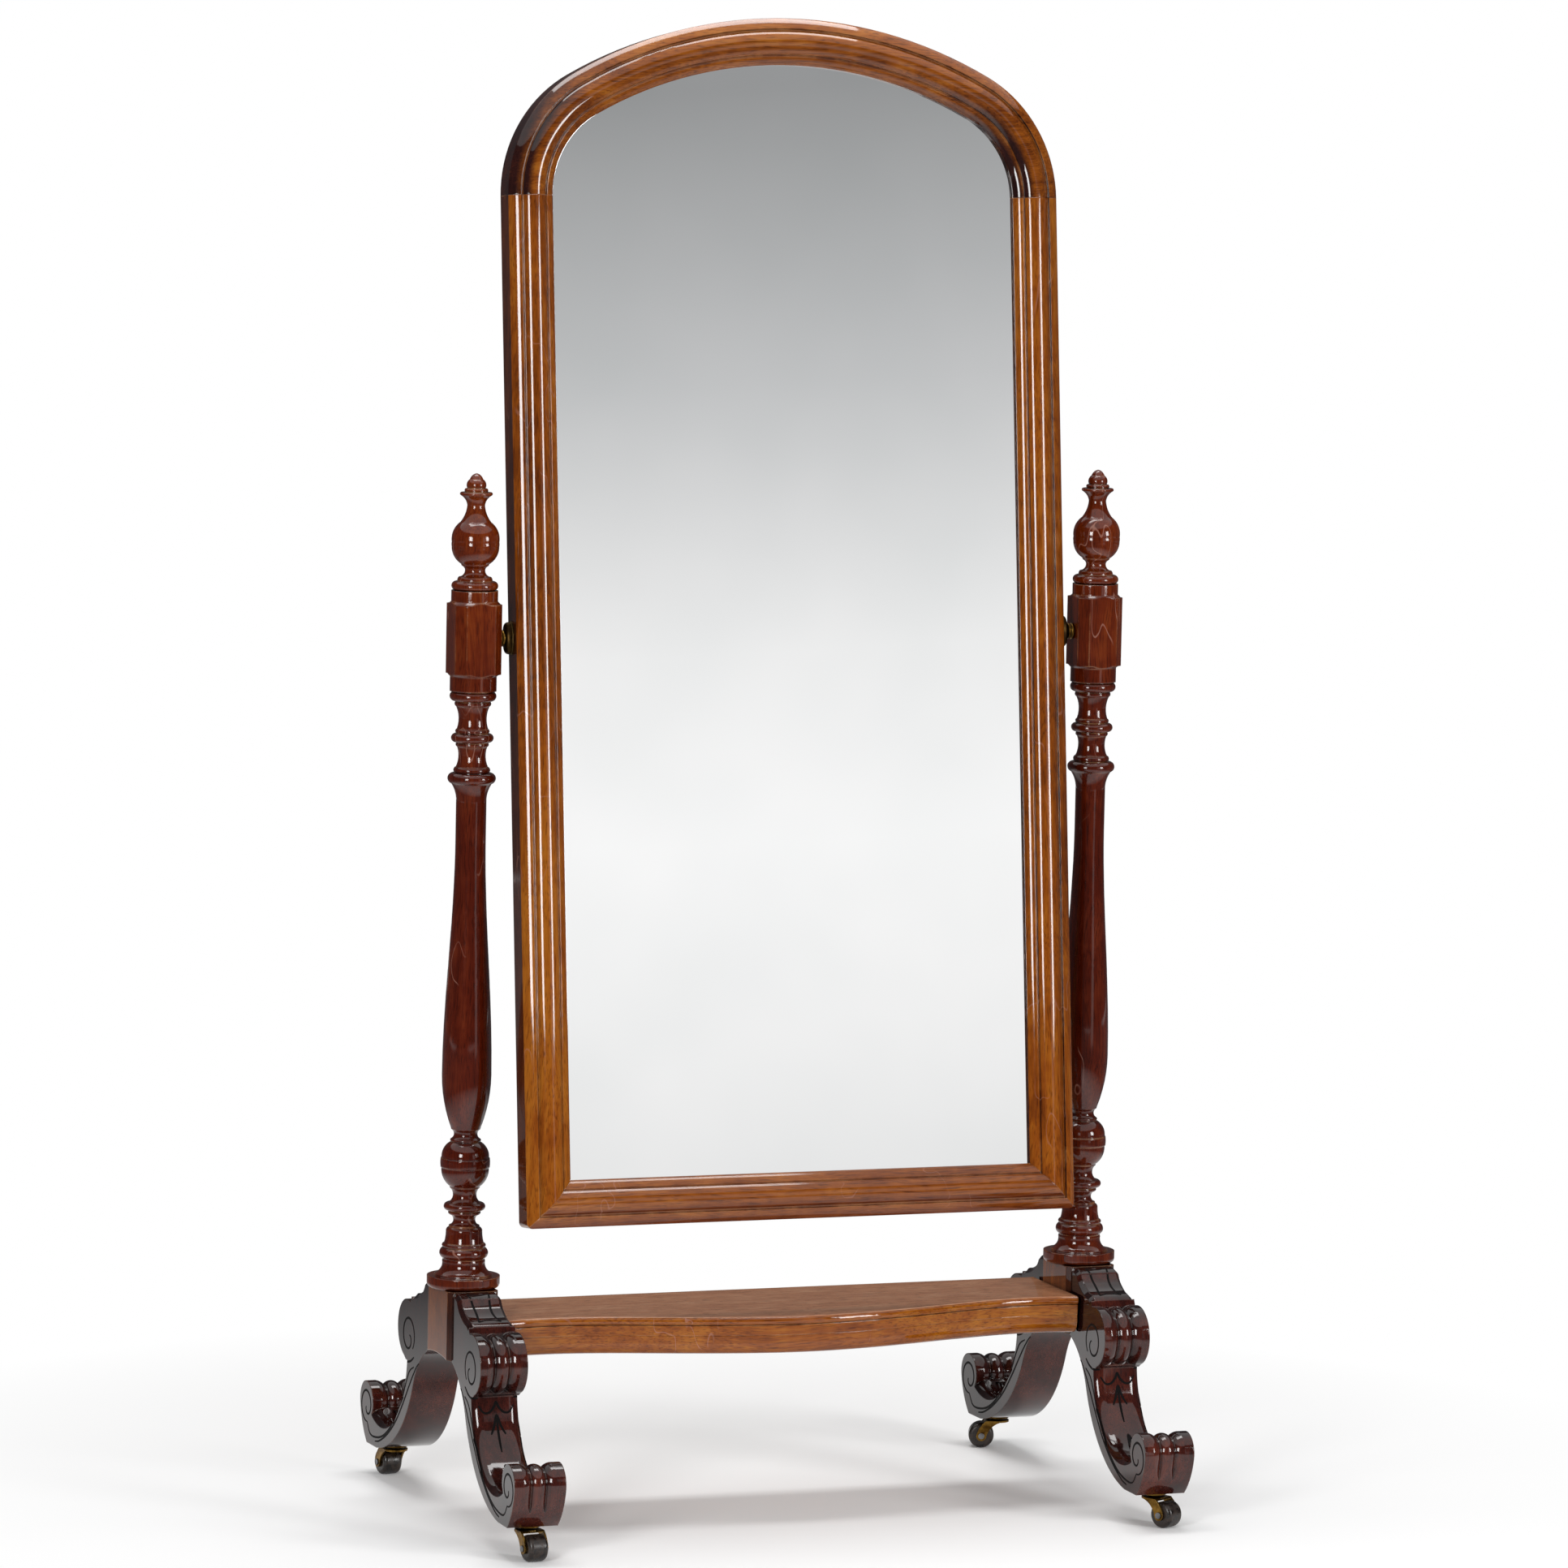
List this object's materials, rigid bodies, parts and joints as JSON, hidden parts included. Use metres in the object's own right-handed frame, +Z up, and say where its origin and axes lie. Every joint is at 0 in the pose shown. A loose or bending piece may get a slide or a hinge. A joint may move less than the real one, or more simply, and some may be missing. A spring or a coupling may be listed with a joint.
{
  "type": "cheval mirror",
  "caption": "Free-standing full-length mirror: an arched moulded mahogany frame tilts between turned standards on carved scroll legs with castors and a serpentine shelf.",
  "frame": {"origin": "on the floor, midway between the two standards, under the centre of the bounding box", "axes": "+Z up; +X to the right of someone facing the glass; the glass faces -Y"},
  "size_m": [0.8879, 0.6068, 1.8053],
  "materials": {
    "turned_mahogany": "french-polished turned mahogany, red-brown",
    "leg_mahogany": "french-polished carved mahogany, very dark",
    "frame_mahogany": "french-polished golden-brown mahogany",
    "shelf_mahogany": "worn polished mahogany",
    "plain_wood": "unpolished",
    "silvered_glass": "silvered plate glass",
    "aged_brass": "aged brass",
    "aged_bronze": "dark bronzed brass",
    "steel": "plain steel",
    "dark_ceramic": "dark brown glazed ceramic"
  },
  "bodies": {
    "stand": {"left_standard": "turned_mahogany", "left_finial": "turned_mahogany", "left_base_block": "leg_mahogany", "left_leg_dowels": "plain_wood", "left_front_leg": "leg_mahogany", "left_back_leg": "leg_mahogany", "left_shelf_cleat": "plain_wood", "left_pivot_bush": "aged_brass", "right_standard": "turned_mahogany", "right_finial": "turned_mahogany", "right_base_block": "leg_mahogany", "right_leg_dowels": "plain_wood", "right_front_leg": "leg_mahogany", "right_back_leg": "leg_mahogany", "right_shelf_cleat": "plain_wood", "right_pivot_bush": "aged_brass", "shelf_board": "shelf_mahogany", "shelf_front_rail": "shelf_mahogany", "shelf_back_rail": "plain_wood", "shelf_screws": "steel", "left_front_castor_plate": "aged_brass", "left_front_castor_screws": "steel", "left_back_castor_plate": "aged_brass", "left_back_castor_screws": "steel", "right_front_castor_plate": "aged_brass", "right_front_castor_screws": "steel", "right_back_castor_plate": "aged_brass", "right_back_castor_screws": "steel"},
    "mirror": {"arched_head": "frame_mahogany", "left_stile": "frame_mahogany", "right_stile": "frame_mahogany", "bottom_rail": "frame_mahogany", "mirror_glass": "silvered_glass", "backboard": "plain_wood", "glass_blocks": "plain_wood", "backboard_screws": "steel", "left_pivot_boss": "aged_bronze", "right_pivot_boss": "aged_bronze", "left_pivot_pin": "steel", "right_pivot_pin": "steel"},
    "left_front_fork": {"left_front_castor_fork": "aged_brass", "left_front_castor_axle": "steel"},
    "left_front_wheel": {"left_front_castor_wheel": "dark_ceramic"},
    "left_back_fork": {"left_back_castor_fork": "aged_brass", "left_back_castor_axle": "steel"},
    "left_back_wheel": {"left_back_castor_wheel": "dark_ceramic"},
    "right_front_fork": {"right_front_castor_fork": "aged_brass", "right_front_castor_axle": "steel"},
    "right_front_wheel": {"right_front_castor_wheel": "dark_ceramic"},
    "right_back_fork": {"right_back_castor_fork": "aged_brass", "right_back_castor_axle": "steel"},
    "right_back_wheel": {"right_back_castor_wheel": "dark_ceramic"}
  },
  "joints": [
    {"name": "mirror_tilt", "type": "hinge", "parent": "stand", "child": "mirror", "pos_m": [0, 0, 1.064], "axis": [1, 0, 0], "continuous": true},
    {"name": "left_front_swivel", "type": "hinge", "parent": "stand", "child": "left_front_fork", "pos_m": [-0.4, -0.257, 0.037], "axis": [0, 0, 1], "continuous": true},
    {"name": "left_front_roll", "type": "hinge", "parent": "left_front_fork", "child": "left_front_wheel", "pos_m": [-0.39756, -0.27685, 0.016], "axis": [0.9925, 0.1219, 0], "continuous": true},
    {"name": "left_back_swivel", "type": "hinge", "parent": "stand", "child": "left_back_fork", "pos_m": [-0.4, 0.257, 0.037], "axis": [0, 0, 1], "continuous": true},
    {"name": "left_back_roll", "type": "hinge", "parent": "left_back_fork", "child": "left_back_wheel", "pos_m": [-0.40278, 0.27681, 0.016], "axis": [-0.9903, -0.1392, 0], "continuous": true},
    {"name": "right_front_swivel", "type": "hinge", "parent": "stand", "child": "right_front_fork", "pos_m": [0.4, -0.257, 0.037], "axis": [0, 0, 1], "continuous": true},
    {"name": "right_front_roll", "type": "hinge", "parent": "right_front_fork", "child": "right_front_wheel", "pos_m": [0.40939, -0.27466, 0.016], "axis": [0.8829, 0.4695, 0], "continuous": true},
    {"name": "right_back_swivel", "type": "hinge", "parent": "stand", "child": "right_back_fork", "pos_m": [0.4, 0.257, 0.037], "axis": [0, 0, 1], "continuous": true},
    {"name": "right_back_roll", "type": "hinge", "parent": "right_back_fork", "child": "right_back_wheel", "pos_m": [0.38121, 0.26384, 0.016], "axis": [-0.342, -0.9397, 0], "continuous": true}
  ]
}
